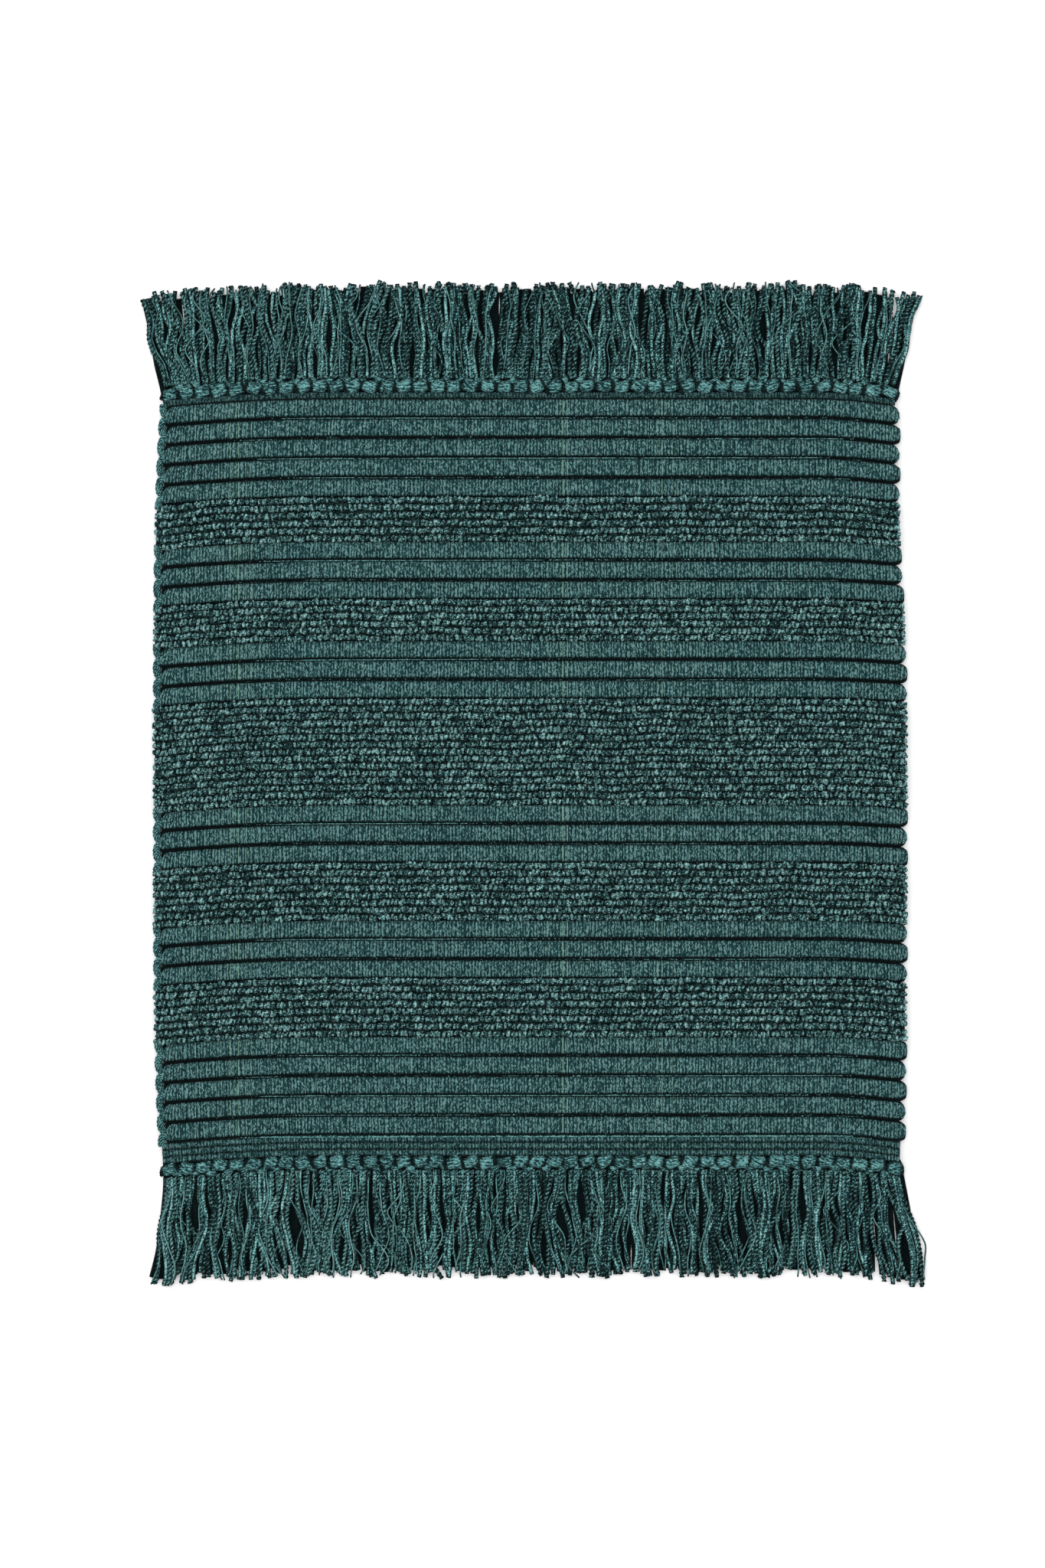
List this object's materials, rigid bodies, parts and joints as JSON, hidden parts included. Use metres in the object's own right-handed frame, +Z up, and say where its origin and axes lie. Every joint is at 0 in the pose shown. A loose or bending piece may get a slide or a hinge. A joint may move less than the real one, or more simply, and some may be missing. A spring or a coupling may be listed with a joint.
{
  "type": "bath mat",
  "caption": "Teal woven cotton bath mat with thick weft ribs, bands of low loop pile, and a knotted tassel fringe along both short ends that folds over onto the mat.",
  "frame": {"origin": "middle of the footprint, on the surface that the mat lies on", "axes": "+X across the mat's width to the right, +Y from the front fringe to the back fringe, +Z up, towards the side with the loops"},
  "size_m": [0.5292, 0.6802, 0.0113],
  "materials": {
    "rib_warp": "matte",
    "filler_cord": "matte",
    "ground_weave": "matte",
    "loop_pile": "matte",
    "hem_weave": "matte",
    "knot_yarn": "matte",
    "tassel_yarn": "matte"
  },
  "bodies": {
    "mat": {"rib_01": "rib_warp", "rib_02": "rib_warp", "rib_03": "rib_warp", "rib_04": "rib_warp", "rib_05": "rib_warp", "rib_06": "rib_warp", "rib_07": "rib_warp", "rib_08": "rib_warp", "rib_09": "rib_warp", "rib_10": "rib_warp", "rib_11": "rib_warp", "rib_12": "rib_warp", "rib_13": "rib_warp", "rib_14": "rib_warp", "rib_15": "rib_warp", "rib_16": "rib_warp", "rib_17": "rib_warp", "rib_18": "rib_warp", "rib_19": "rib_warp", "rib_20": "rib_warp", "rib_21": "rib_warp", "rib_22": "rib_warp", "filler_cord_a": "filler_cord", "filler_cord_b": "filler_cord", "filler_cord_c": "filler_cord", "filler_cord_d": "filler_cord", "filler_cord_e": "filler_cord", "filler_cord_f": "filler_cord", "pile_ground_1": "ground_weave", "pile_ground_2": "ground_weave", "pile_ground_3": "ground_weave", "pile_ground_4": "ground_weave", "pile_ground_5": "ground_weave", "loop_pile_1": "loop_pile", "loop_pile_2": "loop_pile", "loop_pile_3": "loop_pile", "loop_pile_4": "loop_pile", "loop_pile_5": "loop_pile", "front_hem": "hem_weave", "back_hem": "hem_weave", "front_knots": "knot_yarn", "back_knots": "knot_yarn"},
    "front_fringe": {"front_tassels": "tassel_yarn"},
    "back_fringe": {"back_tassels": "tassel_yarn"}
  },
  "joints": [
    {"name": "front_fringe_fold", "type": "hinge", "parent": "mat", "child": "front_fringe", "pos_m": [0, -0.26715, 0.0084], "axis": [-1, 0, 0], "range_deg": [0, 178]},
    {"name": "back_fringe_fold", "type": "hinge", "parent": "mat", "child": "back_fringe", "pos_m": [0, 0.27515, 0.0084], "axis": [1, 0, 0], "range_deg": [0, 178]}
  ]
}
